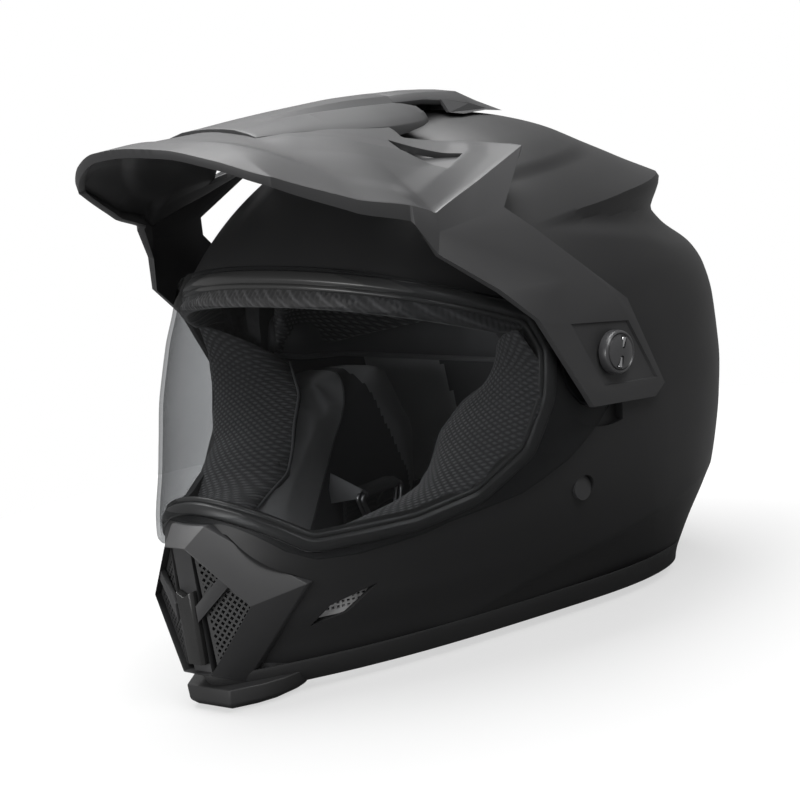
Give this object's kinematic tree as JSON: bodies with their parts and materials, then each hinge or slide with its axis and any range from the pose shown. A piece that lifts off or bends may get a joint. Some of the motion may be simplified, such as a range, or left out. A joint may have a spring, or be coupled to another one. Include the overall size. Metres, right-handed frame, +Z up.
{
  "type": "dual sport helmet",
  "caption": "Full-face dual sport helmet with a clear tilting face shield, a vented sun peak on side knobs, a chin vent, padded lining and a ring-fastened chin strap.",
  "frame": {"origin": "centre of the helmet's footprint on the surface it stands on", "axes": "+X to the wearer's left, -Y to the front, +Z up"},
  "size_m": [0.2742, 0.3348, 0.2705],
  "materials": {
    "shell_plastic": "satin moulded shell, soft matte black lacquer",
    "peak_plastic": "matte black moulded peak",
    "trim_plastic": "matte black edge trim and vent mouldings",
    "gasket_rubber": "dull soft rubber",
    "liner_foam": "charcoal beaded foam",
    "lining_knit": "ribbed knit lining",
    "lining_suede": "brushed soft lining",
    "shield_clear": "clear hard-coated shield, polished",
    "pivot_plastic": "black moulded pivot plate",
    "knob_metal": "satin black turned knob",
    "fastener_steel": "plain steel",
    "vent_mesh": "black moulded mesh",
    "slider_plastic": "smooth black slider",
    "strap_webbing": "woven black webbing"
  },
  "bodies": {
    "helmet": {"outer_shell": "shell_plastic", "eye_port_gasket": "gasket_rubber", "base_trim": "trim_plastic", "crown_foam_liner": "liner_foam", "chin_foam_liner": "liner_foam", "crown_pad": "lining_knit", "brow_pad": "lining_knit", "cheek_pad_left": "lining_suede", "cheek_pad_right": "lining_suede", "neck_roll": "lining_knit", "shield_base_plate_left": "pivot_plastic", "shield_base_plate_right": "pivot_plastic", "pivot_nut_left": "fastener_steel", "pivot_nut_right": "fastener_steel", "chin_vent_housing": "trim_plastic", "chin_vent_mesh_left": "vent_mesh", "chin_vent_mesh_right": "vent_mesh", "side_vent_mesh_left": "vent_mesh", "side_vent_mesh_right": "vent_mesh", "chin_undertray": "trim_plastic", "chin_strap_left": "strap_webbing", "chin_strap_right": "strap_webbing", "strap_rivet_left": "knob_metal", "strap_rivet_right": "knob_metal", "strap_anchor_left": "fastener_steel", "strap_anchor_right": "fastener_steel"},
    "shield": {"face_shield": "shield_clear"},
    "peak_body": {"peak": "peak_plastic"},
    "knob_left": {"peak_knob_left": "knob_metal", "pivot_screw_left": "fastener_steel"},
    "knob_right": {"peak_knob_right": "knob_metal", "pivot_screw_right": "fastener_steel"},
    "vent_slider": {"chin_vent_slider": "slider_plastic"},
    "ring_inner": {"d_ring_inner": "fastener_steel"},
    "ring_outer": {"d_ring_outer": "fastener_steel"}
  },
  "joints": [
    {"name": "shield_hinge", "type": "hinge", "parent": "helmet", "child": "shield", "pos_m": [0, 0.015, 0.135], "axis": [-1, 0, 0], "range_deg": [0, 36]},
    {"name": "peak_tilt", "type": "hinge", "parent": "helmet", "child": "peak_body", "pos_m": [0, 0.015, 0.135], "axis": [-1, 0, 0], "range_deg": [0, 4]},
    {"name": "knob_left_turn", "type": "hinge", "parent": "helmet", "child": "knob_left", "pos_m": [0, 0.015, 0.135], "axis": [1, 0, 0], "continuous": true},
    {"name": "knob_right_turn", "type": "hinge", "parent": "helmet", "child": "knob_right", "pos_m": [0, 0.015, 0.135], "axis": [-1, 0, 0], "continuous": true},
    {"name": "chin_vent_slide", "type": "slide", "parent": "helmet", "child": "vent_slider", "axis": [0, 0, 1], "range_m": [0, 0.006]},
    {"name": "ring_inner_swing", "type": "hinge", "parent": "helmet", "child": "ring_inner", "pos_m": [-0.0275, -0.001, 0.063], "axis": [0, -1, 0], "range_deg": [0, 40]},
    {"name": "ring_outer_swing", "type": "hinge", "parent": "helmet", "child": "ring_outer", "pos_m": [-0.0311, -0.001, 0.063], "axis": [0, 1, 0], "range_deg": [0, 40]}
  ]
}
